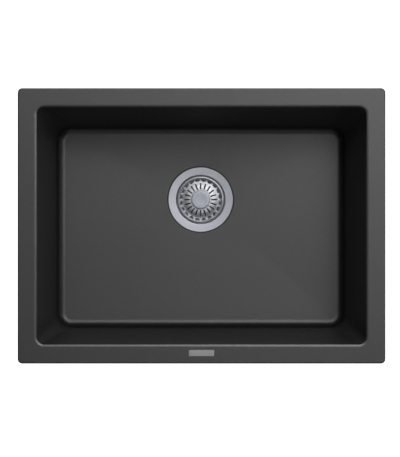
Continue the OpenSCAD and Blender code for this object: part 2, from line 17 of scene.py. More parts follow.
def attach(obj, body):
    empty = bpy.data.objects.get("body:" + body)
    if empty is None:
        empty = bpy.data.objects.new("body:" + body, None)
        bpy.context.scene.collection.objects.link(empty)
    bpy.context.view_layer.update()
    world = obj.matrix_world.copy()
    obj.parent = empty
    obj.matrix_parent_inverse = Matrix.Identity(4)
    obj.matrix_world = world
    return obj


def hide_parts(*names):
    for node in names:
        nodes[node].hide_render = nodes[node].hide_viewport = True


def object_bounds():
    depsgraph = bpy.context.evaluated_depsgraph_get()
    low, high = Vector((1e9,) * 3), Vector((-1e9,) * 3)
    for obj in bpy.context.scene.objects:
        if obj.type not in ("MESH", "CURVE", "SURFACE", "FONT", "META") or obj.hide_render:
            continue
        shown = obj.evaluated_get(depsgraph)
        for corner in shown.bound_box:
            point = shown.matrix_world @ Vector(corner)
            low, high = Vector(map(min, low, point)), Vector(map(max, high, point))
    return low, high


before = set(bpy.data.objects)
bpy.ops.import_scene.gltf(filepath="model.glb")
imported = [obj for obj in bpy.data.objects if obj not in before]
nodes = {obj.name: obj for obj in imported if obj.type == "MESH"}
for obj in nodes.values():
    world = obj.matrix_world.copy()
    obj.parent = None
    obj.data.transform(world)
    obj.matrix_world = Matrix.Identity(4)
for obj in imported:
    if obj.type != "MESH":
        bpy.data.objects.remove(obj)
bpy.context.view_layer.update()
MM = 0.001
ROUND_STEPS, SPUN_STEPS = 96, 128

# Rim and bowl. The lip bends down to LIP_TILT and turns into the wall over a small round, LIP_EDGE
SINK_W, SINK_D, RIM_H, RIM_W = 610.0, 457.0, 10.0, 32.0
CORNER_R, EDGE_R, LIP_R, OPENING_R = 8.0, 2.5, 5.0, 12.0
LIP_TILT, LIP_EDGE = 24.0, 0.4
WALL_T, INSET, FLOOR_R, FOOT_R = 10.0, 20.0, 14.0, 12.0
FLOOR_Z, LOW_Z, UNDER_Z, PAD_Z = -180.0, -183.0, -193.0, -195.0
OPEN_W, OPEN_D = SINK_W - 2 * RIM_W, SINK_D - 2 * RIM_W
CENTRE_INSET = INSET + FLOOR_R
LIP_Z = RIM_H - LIP_R
DRAIN_Y = 49.0
RECESS_R, RECESS_Z, HOLE_R, PAD_R = 58.5, -186.8, 45.0, 64.0
LAP, LIP_W, SEAL_W, GROOVE_H, RELIEF_H = 9.5, 2.0, 5.0, 2.5, 2.0
SEAT_ROUND, DRAIN_ROUND, SMALL_ROUND = 0.6, 0.8, 0.4
LEVEL_INSET, LEVEL_R = 14.0, 9.0

# Steps of the bowl's roundings and of the straight stretches between them
CORNER_STEPS, LONG_STEPS, SHORT_STEPS = 14, 44, 30
EDGE_STEPS, BEND_STEPS, TURN_STEPS, FILLET_STEPS = 10, 9, 5, 16
WALL_STEPS, FLOOR_STEPS = 10, 14

# Bosses under the rim: the web's reach and half width, the boss's and the bore's radius, and its two ends
BOSS_REACH, BOSS_HALF, BOSS_R, BOSS_BORE, BOSS_LOW, BOSS_HIGH = 11.0, 4.5, 6.5, 4.04, -8.0, RELIEF_H + 0.6
BOSS_STEPS = 44

# Waste: the funnel's chamber and its threaded outlet, down from the cup
CHAMBER_R, BODY_T, CHAMBER_Z, OUTLET_Z, OUTLET_END_Z = 46.8, 3.0, -234.8, -254.8, -276.8
OUTLET_R, OUTLET_BORE, PIPE_BORE, STOP_H = 23.9, 20.4, 18.0, 4.0
OUTLET_PITCH, OUTLET_DEEP, OUTLET_TIP = 2.31, 1.35, 1.65

# One turn of a thread in shares of its pitch: a flank's foot, the crest's two edges, the other flank's foot
THREAD_FORM = (0.0, 0.36, 0.52, 0.88)

# Basket: the dome with its slots, the windows at the dome's edge, and the wall up to the brim. Each ramp says
# at which radius the dome's slope starts to change, where it ends, and how much it changes.
STEEL_T, BASKET_BORE, DOME_TOP_Z, DOME_FALL, DOME_END_R = 1.0, 3.1, -192.8, 3.5, 37.4
DOME_RAMPS = [(16.0, 29.0, 1.0), (31.0, 37.0, -0.4)]
TROUGH_R, WALL_LEAN = 0.5, 0.5
BRIM_X, BRIM_ROUND, BRIM_R, BRIM_TOP_Z, BRIM_FALL = 39.05, 1.05, 42.1, -185.3, 12.0
SLOT_COUNT, SLOT_IN, SLOT_OUT, SLOT_W = 20, 18.5, 29.5, 1.9
SLOT_PITCH = 360 / SLOT_COUNT
WINDOW_IN, WINDOW_OUT, WINDOW_HALF, WINDOW_POWER, HOLE_ROUND = 33.0, 37.1, 4.1, 0.8, 0.25
KNOB_R, KNOB_LOW_Z, KNOB_TOP_Z, KNOB_NECK_R = 16.3, -189.3, -186.3, 8.0
KNOB_DISH, KNOB_ROUND, KNOB_LOW_ROUND, NECK_ROUND = 0.12, 1.1, 0.8, 1.5

# Rings of points on the dome: a few where it is level, by radius and count, and close rows around its holes
AROUND, BORE_STEPS = 240, 48
LEVEL_RINGS = [(7, 48), (12, 72), (15, 120), (16.5, 120)]
ROWS, ROWS_FROM_R, ROWS_KEEP_OFF = 19, 17.8, 0.35

# Nameplate, with the groove around its border
PLATE_W, PLATE_D, PLATE_T, PLATE_R, PLATE_Y = 42.0, 10.5, 0.8, 1.2, -211.0
PLATE_ROUND, GROOVE_IN, GROOVE_OUT, GROOVE_SLOPE, GROOVE_DEEP = 0.3, 0.75, 1.15, 0.1, 0.12

# Clips: each stud's place and the way its clip faces
STUD_X, STUD_Y, CLIP_X, CLIP_Y = 289.0, 212.5, 150.0, 100.0
STUD_R, STUD_TOP, STUD_END = 2.5, 2.95, -53.6
STUD_PITCH, STUD_DEEP, STUD_TIP, STUD_STEPS = 0.8, 0.46, 0.9, 16
SPOTS = [
    (STUD_X, -CLIP_Y, 0), (STUD_X, CLIP_Y, 0), (CLIP_X, STUD_Y, 90), (-CLIP_X, STUD_Y, 90),
    (-STUD_X, CLIP_Y, 180), (-STUD_X, -CLIP_Y, 180), (-CLIP_X, -STUD_Y, 270), (CLIP_X, -STUD_Y, 270),
]


# Mesh helpers

def build(name, verts, faces, finish, body, slot, replaces, angle=38, weighted=True):
    """One piece of the object from points in millimetres, smooth but for edges sharper than the angle."""
    mesh = bpy.data.meshes.new(name)
    mesh.from_pydata([(x * MM, y * MM, z * MM) for x, y, z in verts], [], faces)
    mesh.validate()
    tidy = bmesh.new()
    tidy.from_mesh(mesh)
    bmesh.ops.remove_doubles(tidy, verts=tidy.verts, dist=1e-7)
    bmesh.ops.recalc_face_normals(tidy, faces=tidy.faces)
    tidy.to_mesh(mesh)
    tidy.free()
    mesh.shade_smooth()
    mesh.set_sharp_from_angle(angle=math.radians(angle))
    piece = bpy.data.objects.new(name, mesh)
    bpy.context.scene.collection.objects.link(piece)
    mesh.materials.append(finish)
    if weighted:
        modifier = piece.modifiers.new("weights", "WEIGHTED_NORMAL")
        modifier.keep_sharp = True
        modifier.weight = 60
    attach(piece, body)
    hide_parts(*replaces)


def loft(rings, closed=False, capped=False):
    """Points and faces of rings of equal length, joined one to the next."""
    count = len(rings[0])
    verts = [tuple(p) for ring in rings for p in ring]
    faces = []
    spans = len(rings) if closed else len(rings) - 1
    for k in range(spans):
        a, b = k * count, ((k + 1) % len(rings)) * count
        for i in range(count):
            j = (i + 1) % count
            faces.append((a + i, a + j, b + j, b + i))
    if capped:
        faces.append(tuple(range(count - 1, -1, -1)))
        faces.append(tuple((len(rings) - 1) * count + i for i in range(count)))
    return verts, faces


def join(*parts):
    """Several (points, faces) as one."""
    verts, faces = [], []
    for some_verts, some_faces in parts:
        base = len(verts)
        verts += list(some_verts)
        faces += [tuple(base + i for i in face) for face in some_faces]
    return verts, faces


def moved(part, x=0.0, y=0.0, turn=0.0):
    """A part turned about the vertical and then moved."""
    verts, faces = part
    c, s = math.cos(math.radians(turn)), math.sin(math.radians(turn))
    return [(px * c - py * s + x, px * s + py * c + y, pz) for px, py, pz in verts], faces


def flat_circle(r, count):
    """The points of a circle about the origin, without a height."""
    turns = [2 * math.pi * i / count for i in range(count)]
    return [(r * math.cos(turn), r * math.sin(turn)) for turn in turns]


def circle(r, z, count=ROUND_STEPS):
    """The points of a level circle about the vertical."""
    return [(x, y, z) for x, y in flat_circle(r, count)]


def spun(outline, count, closed=True):
    """An outline of (radius, height) points turned about the drain's axis."""
    return moved(loft([circle(max(r, 0.001), z, count) for r, z in outline], closed=closed), y=DRAIN_Y)


def arc(x, y, r, start, end, steps):
    """Points on an arc about (x, y), from the start to the end in degrees."""
    return [(x + r * math.cos(math.radians(start + (end - start) * i / steps)),
             y + r * math.sin(math.radians(start + (end - start) * i / steps))) for i in range(steps + 1)]


def thread(root, crest, pitch, low, high, tip, steps, capped=True):
    """A thread about the vertical from low to high, chamfered to the tip's radius at both ends."""
    shape = list(zip(THREAD_FORM, (root, crest, crest, root)))
    turns = int((high - low) / pitch) + 3
    verts = []
    for i in range(turns * steps + 1):
        away = 2 * math.pi * i / steps
        for share, r in shape:
            z = min(high, max(low, low - pitch + pitch * (i / steps + share)))
            r = min(r, tip + (z - low), tip + (high - z))
            verts.append((r * math.cos(away), r * math.sin(away), z))
    faces = []
    for i in range(turns * steps):
        a, b, up = 4 * i, 4 * (i + 1), 4 * steps
        faces += [(a + j, b + j, b + j + 1, a + j + 1) for j in range(3)]
        if b + up < len(verts):
            faces.append((a + 3, b + 3, b + up, a + up))
    if capped:
        faces.append(tuple(4 * i for i in range(steps)))
        faces.append(tuple(4 * i + 3 for i in range(turns * steps - steps, turns * steps)))
    return verts, faces


# Bowl

def rounded(half_x, half_y, r, z):
    """A level rounded rectangle about the origin, always with the same number of points."""
    corners = []
    for k, (side_x, side_y) in enumerate([(1, 1), (-1, 1), (-1, -1), (1, -1)]):
        x, y = side_x * (half_x - r), side_y * (half_y - r)
        corners.append(arc(x, y, r, 90 * k, 90 * (k + 1), CORNER_STEPS))
    ring = []
    for k, corner in enumerate(corners):
        ring += corner
        (ax, ay), (bx, by) = corner[-1], corners[(k + 1) % 4][0]
        steps = LONG_STEPS if k % 2 == 0 else SHORT_STEPS
        ring += [(ax + (bx - ax) * i / steps, ay + (by - ay) * i / steps) for i in range(1, steps)]
    return [(x, y, z) for x, y in ring]


def rim_ring(inset, r, z):
    """A ring that lies in from the rim's outer edge."""
    return rounded(SINK_W / 2 - inset, SINK_D / 2 - inset, r, z)


def bowl_ring(inset, r, z):
    """A ring that lies in from the bowl's opening."""
    return rounded(OPEN_W / 2 - inset, OPEN_D / 2 - inset, r, z)


def drain_ring(r, z, like):
    """A circle about the drain whose points lie in line with those of another ring."""
    ring = []
    for x, y, _ in like:
        away = math.atan2(y - DRAIN_Y, x)
        ring.append((r * math.cos(away), DRAIN_Y + r * math.sin(away), z))
    return ring


def between(first, last, shares):
    """Rings between two rings."""
    return [[tuple(p + (q - p) * t for p, q in zip(a, b)) for a, b in zip(first, last)] for t in shares]


def lean_of(upper, lower, across, down):
    """The lean, from the vertical, of a wall that touches two roundings, from their radii and centres."""
    return math.degrees(math.atan2(across, down) - math.asin((upper + lower) / math.hypot(across, down)))


def top_rings():
    """The rim from its seat up over its outer edge, and the lip down to the wall, with the wall's lean."""
    bend = math.radians(LIP_TILT)
    bend_r = (LIP_R - LIP_EDGE * (1 - math.sin(bend))) / math.sin(bend)
    wall_z = RIM_H - bend_r * (1 - math.cos(bend)) - LIP_EDGE * math.cos(bend)
    lean = lean_of(LIP_EDGE, FLOOR_R, LIP_EDGE + CENTRE_INSET, wall_z - FLOOR_Z - FLOOR_R)
    rings = []
    for d, z in arc(SEAT_ROUND, SEAT_ROUND, SEAT_ROUND, 270, 180, 3):
        rings.append(rim_ring(d, CORNER_R - d, z))
    for d, z in arc(EDGE_R, RIM_H - EDGE_R, EDGE_R, 180, 90, EDGE_STEPS):
        rings.append(rim_ring(d, CORNER_R - d, z))
    rings.append(rim_ring(EDGE_R + 0.8, CORNER_R - EDGE_R - 0.6, RIM_H))
    rings.append(rim_ring(LEVEL_INSET, LEVEL_R, RIM_H))
    rings.append(bowl_ring(-LIP_R - 0.8, OPENING_R + LIP_R + 0.6, RIM_H))
    for i in range(BEND_STEPS + 1):
        a = bend * i / BEND_STEPS
        out = LIP_R - bend_r * math.sin(a)
        rings.append(bowl_ring(-out, OPENING_R + out, RIM_H - bend_r * (1 - math.cos(a))))
    for i in range(1, TURN_STEPS + 1):
        a = bend + (math.radians(90 - lean) - bend) * i / TURN_STEPS
        out = LIP_EDGE * (1 - math.sin(a))
        rings.append(bowl_ring(-out, OPENING_R + out, wall_z + LIP_EDGE * math.cos(a)))
    return rings, lean


def foot_places(lean, r, z):
    """The rounding between a leaning wall and the level z: each ring's inset, corner radius and height."""
    places = []
    for i in range(FILLET_STEPS + 1):
        a = math.radians(lean + (90 - lean) * i / FILLET_STEPS)
        places.append((CENTRE_INSET - r * math.cos(a), FOOT_R + r * math.cos(a), z + r * (1 - math.sin(a))))
    return places


def drain_rings(like):
    """The recess of the drain, its hole and the pad around the hole below."""
    outline = arc(RECESS_R + DRAIN_ROUND, LOW_Z - DRAIN_ROUND, DRAIN_ROUND, 90, 180, 4)
    outline += [
        (RECESS_R, RECESS_Z + 0.3), (RECESS_R - 0.3, RECESS_Z), (HOLE_R + SMALL_ROUND, RECESS_Z),
        (HOLE_R, RECESS_Z - SMALL_ROUND), (HOLE_R, PAD_Z + SMALL_ROUND), (HOLE_R + SMALL_ROUND, PAD_Z),
        (PAD_R - DRAIN_ROUND, PAD_Z),
    ]
    outline += arc(PAD_R - DRAIN_ROUND, PAD_Z + DRAIN_ROUND, DRAIN_ROUND, 270, 360, 4)
    outline += [(PAD_R, UNDER_Z - 0.6), (PAD_R + 0.6, UNDER_Z)]
    return [drain_ring(r, z, like) for r, z in outline]


def under_rings(last):
    """The underside, the outside of the bowl, and the relief, seat and seal's groove under the rim."""
    shell_r = FLOOR_R + WALL_T
    shell_lean = lean_of(0, shell_r, WALL_T + CENTRE_INSET, LIP_Z - UNDER_Z - shell_r)
    foot = bowl_ring(CENTRE_INSET, FOOT_R, UNDER_Z)
    rings = between(last, foot, [i / WALL_STEPS for i in range(1, WALL_STEPS)])
    shell = foot_places(shell_lean, shell_r, UNDER_Z)
    rings += [bowl_ring(*place) for place in reversed(shell)]
    inset, r, z = shell[0]
    for d, h in [(0, -60.0), (0, -20.0), (0, -4.0), (0.0, -1.6), (0.25, -0.7), (0.8, -0.15), (1.7, 0)]:
        t = (LIP_Z - RELIEF_H - h) / (LIP_Z - z)
        rings.append(bowl_ring(-WALL_T + t * (inset + WALL_T) - d,
                               OPENING_R + WALL_T + t * (r - OPENING_R - WALL_T) + d, RELIEF_H + h))
    seal_in = LIP_W + SEAL_W
    for d, corner, height in [
        (LAP + SMALL_ROUND, OPENING_R - SMALL_ROUND, RELIEF_H), (LAP, OPENING_R, RELIEF_H - SMALL_ROUND),
        (LAP, OPENING_R, 0.3), (LAP - 0.3, OPENING_R - 1.0, 0.0),
        (seal_in, CORNER_R - seal_in, 0.0), (seal_in, CORNER_R - seal_in, GROOVE_H),
        (LIP_W, CORNER_R - LIP_W, GROOVE_H), (LIP_W, CORNER_R - LIP_W, 0.0),
    ]:
        rings.append(rim_ring(d, corner, height))
    return rings


def bowl_rings():
    """The whole bowl: over the rim from its seat, down the inside, through the drain and back up outside."""
    rings, lean = top_rings()
    fillet = [bowl_ring(*place) for place in foot_places(lean, FLOOR_R, FLOOR_Z)]
    rings += between(rings[-1], fillet[0], [i / WALL_STEPS for i in range(1, WALL_STEPS)]) + fillet
    edge = fillet[-1]
    rim_of_drain = drain_ring(RECESS_R + 2, LOW_Z, edge)
    rings += between(edge, rim_of_drain, [0.01] + [i / FLOOR_STEPS for i in range(1, FLOOR_STEPS + 1)])
    rings += drain_rings(edge)
    return rings + under_rings(rings[-1])


def boss_outline(d, z):
    """A boss and its web, drawn in by a distance."""
    r, half = BOSS_R - d, BOSS_HALF - d
    touch = math.degrees(math.asin(half / r))
    round_part = arc(0, 0, r, -180 + touch, 180 - touch, BOSS_STEPS)
    return [(x, y, z) for x, y in [(-BOSS_REACH, -half), *round_part, (-BOSS_REACH, half)]]


def boss_hole(d, z):
    """The boss's bore grown by a distance, with its points in line with the boss's own."""
    points = []
    for x, y, _ in boss_outline(0, 0):
        away = math.atan2(y, x)
        points.append(((BOSS_BORE + d) * math.cos(away), (BOSS_BORE + d) * math.sin(away), z))
    return points


def boss():
    """A clip's boss with its web to the wall and the bore of its insert, in the clip's own frame."""
    outline = [(0.8, BOSS_LOW), (0.25, BOSS_LOW + 0.25), (0, BOSS_LOW + 0.8), (0, BOSS_HIGH - 2.2),
               (-0.3, BOSS_HIGH - 1.4), (-0.9, BOSS_HIGH - 0.8), (-1.8, BOSS_HIGH - 0.6)]
    bore = [boss_hole(0, BOSS_HIGH), boss_hole(0, BOSS_LOW + 0.3), boss_hole(0.3, BOSS_LOW)]
    return loft(bore + [boss_outline(d, z) for d, z in outline])


# Basket

def dome_drop(r):
    """How far the dome has fallen at a radius, not yet scaled. Each ramp changes its slope softly."""
    drop = 0.0
    for start, end, change in DOME_RAMPS:
        share = min(1.0, max(0.0, (r - start) / (end - start)))
        drop += change * ((end - start) * (share ** 3 - share ** 4 / 2) + max(0.0, r - end))
    return drop


def dome_z(r):
    """The height of the dome: level under the knob, steep over the slots and flatter at its edge."""
    return DOME_TOP_Z - DOME_FALL * dome_drop(r) / dome_drop(DOME_END_R)


def slot_outline(grow):
    """A slot grown by a distance, lying along the X axis."""
    half = SLOT_W / 2
    first, last = SLOT_IN + half, SLOT_OUT - half
    side = [first + (last - first) * i / 6 for i in range(1, 6)]
    return (arc(last, 0, half + grow, -90, 90, 10) + [(x, half + grow) for x in reversed(side)]
            + arc(first, 0, half + grow, 90, 270, 10) + [(x, -half - grow) for x in side])


def window_outline(grow):
    """A window grown by a distance: an arch whose straight side follows the dome's edge."""
    points = []
    for i in range(25):
        turn = math.pi * (0.5 + i / 24)
        across = math.copysign(abs(math.sin(turn)) ** WINDOW_POWER, math.sin(turn)) * (WINDOW_HALF + grow)
        deep = abs(math.cos(turn)) ** WINDOW_POWER * (WINDOW_OUT - WINDOW_IN + grow)
        points.append((WINDOW_OUT - deep, across))
    points += [(WINDOW_OUT + grow, -WINDOW_HALF * t) for t in (0.97, 0.8, 0.4, 0.0, -0.4, -0.8, -0.97)]
    bent = []
    for x, y in points:
        away = y / WINDOW_OUT
        bent.append((x * math.cos(away), x * math.sin(away)))
    return bent


# The first slot and the first window, each with its turn, and all the holes after them
HOLE_KINDS = [(slot_outline, 0.0), (window_outline, SLOT_PITCH / 2)]
HOLES = [(outline, turn + k * SLOT_PITCH) for outline, turn in HOLE_KINDS for k in range(SLOT_COUNT)]


def turned_outline(outline, turn):
    """An outline turned about the origin."""
    c, s = math.cos(math.radians(turn)), math.sin(math.radians(turn))
    return [(x * c - y * s, x * s + y * c) for x, y in outline]


def inside(outline, x, y):
    """Whether an outline goes around a point."""
    hit = False
    for (ax, ay), (bx, by) in zip(outline, outline[1:] + outline[:1]):
        if (ay > y) != (by > y) and x < ax + (bx - ax) * (y - ay) / (by - ay):
            hit = not hit
    return hit


def pierced(x, y, outlines):
    """Whether a place on the dome lies in a hole, from outlines of the first hole of each kind."""
    r, away = math.hypot(x, y), math.degrees(math.atan2(y, x))
    for outline, turn in outlines:
        local = math.radians((away - turn + SLOT_PITCH / 2) % SLOT_PITCH - SLOT_PITCH / 2)
        if inside(outline, r * math.cos(local), r * math.sin(local)):
            return True
    return False


def dome_plan():
    """The dome seen from above: its points, and its faces between the bore, the edge and the holes."""
    points, edges = [], []
    for ring in [flat_circle(BASKET_BORE, BORE_STEPS), flat_circle(DOME_END_R, AROUND),
                 *[turned_outline(outline(HOLE_ROUND), turn) for outline, turn in HOLES]]:
        base = len(points)
        points += ring
        edges += [(base + i, base + (i + 1) % len(ring)) for i in range(len(ring))]
    for r, count in LEVEL_RINGS:
        points += flat_circle(r, count)
    keep_off = [(outline(HOLE_ROUND + ROWS_KEEP_OFF), turn) for outline, turn in HOLE_KINDS]
    for i in range(ROWS):
        r = ROWS_FROM_R + (DOME_END_R - ROWS_FROM_R) * i / ROWS
        points += [place for place in flat_circle(r, AROUND) if not pierced(*place, keep_off)]
    flat, _, faces, _, _, _ = delaunay_2d_cdt([Vector(place) for place in points], edges, [], 0, 1e-5)
    cut = [(outline(HOLE_ROUND), turn) for outline, turn in HOLE_KINDS]
    kept = []
    for face in faces:
        x = sum(flat[i][0] for i in face) / len(face)
        y = sum(flat[i][1] for i in face) / len(face)
        if math.hypot(x, y) > BASKET_BORE and not pierced(x, y, cut):
            kept.append(tuple(face))
    return flat, kept


def wall_line():
    """The basket's wall from the dome's edge up over the brim, and back down its outside."""
    edge_z = dome_z(DOME_END_R)
    fall = math.degrees(math.atan((dome_z(DOME_END_R - 0.5) - edge_z) / 0.5))
    trough_x = DOME_END_R + TROUGH_R * math.sin(math.radians(fall))
    trough_y = edge_z + TROUGH_R * math.cos(math.radians(fall))
    brim_y = BRIM_TOP_Z - BRIM_ROUND
    brim_turn = 90 - BRIM_FALL
    turn = math.radians(brim_turn)
    brim_z = brim_y + BRIM_ROUND / math.sin(turn) - (BRIM_R - BRIM_X) / math.tan(turn)
    line = arc(trough_x, trough_y, TROUGH_R, 270 - fall, 360 - WALL_LEAN, 7)
    line += arc(BRIM_X, brim_y, BRIM_ROUND, 180 - WALL_LEAN, brim_turn, 9)
    line += [(BRIM_R - 0.25, brim_z + 0.06), (BRIM_R, brim_z - 0.2), (BRIM_R, brim_z - STEEL_T + 0.15)]
    line += [(BRIM_R - 0.2, brim_z - STEEL_T)]
    line += arc(BRIM_X, brim_y, BRIM_ROUND - STEEL_T, brim_turn, 180 - WALL_LEAN, 4)
    line += arc(trough_x, trough_y, TROUGH_R + STEEL_T, 360 - WALL_LEAN, 285, 6)
    return [(DOME_END_R, edge_z)] + line[1:] + [(DOME_END_R, edge_z - STEEL_T)]


def pressed_basket():
    """The basket's sheet: the pierced dome, its holes' rounded edges, and the wall and brim around it."""
    flat, kept = dome_plan()
    upper = [(x, y, dome_z(math.hypot(x, y))) for x, y in flat]
    lower = [(x, y, z - STEEL_T) for x, y, z in upper]
    parts = [(upper, kept), (lower, [tuple(reversed(face)) for face in kept])]
    sides = [(HOLE_ROUND, 0.0), (0.3 * HOLE_ROUND, 0.3 * HOLE_ROUND), (0.0, HOLE_ROUND),
             (0.0, STEEL_T - HOLE_ROUND), (HOLE_ROUND, STEEL_T)]
    for outline, turn in HOLES:
        rings = []
        for grow, down in sides:
            side = turned_outline(outline(grow), turn)
            rings.append([(x, y, dome_z(math.hypot(x, y)) - down) for x, y in side])
        parts.append(loft(rings))
    parts.append(loft([circle(BASKET_BORE, z, BORE_STEPS) for z in (DOME_TOP_Z, DOME_TOP_Z - STEEL_T)]))
    parts.append(loft([circle(r, z, AROUND) for r, z in wall_line()]))
    return moved(join(*parts), y=DRAIN_Y)


def turned_knob():
    """The knob: a disc with a soft round edge and a shallow dish, on its neck."""
    top, neck = KNOB_TOP_Z, KNOB_NECK_R + NECK_ROUND
    outline = [(0, top - KNOB_DISH), (3, top - KNOB_DISH), (6, top - KNOB_DISH), (7, top - 0.1),
               (8.5, top - 0.03), (9.5, top), (13.5, top), (14.6, top - 0.04)]
    outline += arc(KNOB_R - KNOB_ROUND, top - KNOB_ROUND - 0.1, KNOB_ROUND, 75, 0, 7)
    outline += arc(KNOB_R - KNOB_LOW_ROUND, KNOB_LOW_Z + KNOB_LOW_ROUND, KNOB_LOW_ROUND, 0, -90, 5)
    outline += [(neck, KNOB_LOW_Z)] + arc(neck, KNOB_LOW_Z - NECK_ROUND, NECK_ROUND, 90, 180, 5)
    outline += [(KNOB_NECK_R, DOME_TOP_Z), (0, DOME_TOP_Z)]
    return spun(outline, SPUN_STEPS, closed=False)


# Materials

def material(name):
    """A new material, its node tree and its shader."""
    made = bpy.data.materials.new(name)
    made.use_nodes = True
    tree = made.node_tree
    shader = next(n for n in tree.nodes if n.type == "BSDF_PRINCIPLED")
    return made, tree, shader


def node(tree, kind, **settings):
    """A new node with its settings."""
    made = tree.nodes.new(kind)
    for key, value in settings.items():
        setattr(made, key, value)
    return made


def where(tree, scale=(1, 1, 1)):
    """Places on the piece in metres, stretched by the scale."""
    coordinates = node(tree, "ShaderNodeTexCoord")
    mapping = node(tree, "ShaderNodeMapping")
    mapping.inputs["Scale"].default_value = scale
    tree.links.new(coordinates.outputs["Object"], mapping.inputs["Vector"])
    return mapping.outputs["Vector"]


def noise(tree, vector, scale, detail=2.0, rough=0.5):
    """Cloudy noise, with the scale in waves to the metre."""
    made = node(tree, "ShaderNodeTexNoise")
    made.inputs["Scale"].default_value = scale
    made.inputs["Detail"].default_value = detail
    made.inputs["Roughness"].default_value = rough
    tree.links.new(vector, made.inputs["Vector"])
    return made.outputs["Fac"]


def ramp(tree, value, *stops):
    """A colour or a grey for the value, between stops of (value, colour)."""
    made = node(tree, "ShaderNodeValToRGB")
    ends = made.color_ramp.elements
    while len(ends) < len(stops):
        ends.new(0.5)
    for end, (place, colour) in zip(ends, stops):
        end.position = place
        if not isinstance(colour, tuple):
            colour = (colour, colour, colour)
        end.color = (*colour, 1)
    tree.links.new(value, made.inputs["Fac"])
    return made.outputs["Color"]


def blend_colours(tree, share, first, second, kind="MIX"):
    """The second colour over the first by a share. Each of the three is a value or another node's output."""
    made = node(tree, "ShaderNodeMix", data_type="RGBA", blend_type=kind)
    sockets = [s for s in made.inputs if s.type == "RGBA"]
    factor = next(s for s in made.inputs if s.type == "VALUE")
    for socket, value in ((factor, share), (sockets[0], first), (sockets[1], second)):
        if isinstance(value, (tuple, float, int)):
            if socket.type == "RGBA":
                socket.default_value = (*value, 1)
            else:
                socket.default_value = value
        else:
            tree.links.new(value, socket)
    return next(s for s in made.outputs if s.type == "RGBA")


def bump(tree, shader, *layers):
    """Layers of (height, strength, distance in metres), the last on top."""
    normal = None
    for height, strength, distance in layers:
        made = node(tree, "ShaderNodeBump")
        made.inputs["Strength"].default_value = strength
        made.inputs["Distance"].default_value = distance
        tree.links.new(height, made.inputs["Height"])
        if normal:
            tree.links.new(normal, made.inputs["Normal"])
        normal = made.outputs["Normal"]
    tree.links.new(normal, shader.inputs["Normal"])


def step(tree, value, start, end):
    """0 before start and 1 after end, in millimetres, with a soft step between."""
    made = node(tree, "ShaderNodeMapRange", interpolation_type="SMOOTHSTEP")
    made.inputs["From Min"].default_value = start * MM
    made.inputs["From Max"].default_value = end * MM
    tree.links.new(value, made.inputs["Value"])
    return made.outputs["Result"]


def combined(tree, kind, first, second):
    """Two values multiplied, added or subtracted, as kind says."""
    made = node(tree, "ShaderNodeMath", operation=kind)
    for socket, value in zip(made.inputs, (first, second)):
        if isinstance(value, float):
            socket.default_value = value
        else:
            tree.links.new(value, socket)
    return made.outputs[0]


def granite_material():
    """Quartz-filled resin: rougher on the walls than on the floor and polished on the lips, with painted shade
    that darkens the walls' colour.
    """
    made, tree, shader = material("granite_composite")
    at = where(tree)
    split = node(tree, "ShaderNodeSeparateXYZ")
    tree.links.new(at, split.inputs["Vector"])
    height = split.outputs["Z"]
    under_lip = step(tree, height, LIP_Z + 1, LIP_Z - 2)
    drawn = combined(tree, "MULTIPLY", step(tree, height, FLOOR_Z + 10, FLOOR_Z + 24), under_lip)
    # Painted shade: from just over the floor up to under the lip, the walls' colour is multiplied down to 0.4
    dark = combined(tree, "MULTIPLY", step(tree, height, FLOOR_Z + 1, FLOOR_Z + 9), under_lip)
    on_lip = step(tree, height, LIP_Z - 2, LIP_Z + 1)
    polished = combined(tree, "MULTIPLY", on_lip, step(tree, height, RIM_H - 0.02, RIM_H - 0.2))
    grains = node(tree, "ShaderNodeTexVoronoi")
    grains.inputs["Scale"].default_value = 900
    tree.links.new(at, grains.inputs["Vector"])
    tone = ramp(tree, grains.outputs["Color"], (0.0, 0.0), (0.80, 0.0), (0.93, 0.55), (1.0, 1.0))
    fines = noise(tree, at, 2600, 2.0, 0.6)
    cloud = noise(tree, at, 60, 3.0, 0.55)
    base = ramp(tree, fines, (0.3, (0.006, 0.006, 0.006)), (0.7, (0.011, 0.011, 0.011)))
    base = blend_colours(tree, tone, base, (0.05, 0.05, 0.05))
    base = blend_colours(tree, ramp(tree, cloud, (0.3, 0.0), (0.7, 0.22)), base, (0.009, 0.009, 0.009))
    # The painted shade on the walls
    base = blend_colours(tree, dark, base, (0.4, 0.4, 0.4), "MULTIPLY")
    tree.links.new(base, shader.inputs["Base Color"])
    rough = ramp(tree, noise(tree, at, 420, 3.0, 0.6), (0.25, 0.385), (0.75, 0.455))
    rough = combined(tree, "ADD", rough, combined(tree, "MULTIPLY", drawn, 0.16))
    rough = combined(tree, "ADD", rough, combined(tree, "MULTIPLY", polished, -0.12))
    tree.links.new(rough, shader.inputs["Roughness"])
    shader.inputs["IOR"].default_value = 2.2
    bump(tree, shader, (noise(tree, at, 240, 2.0, 0.5), 0.25, 0.0002), (fines, 0.35, 0.00006))
    return made


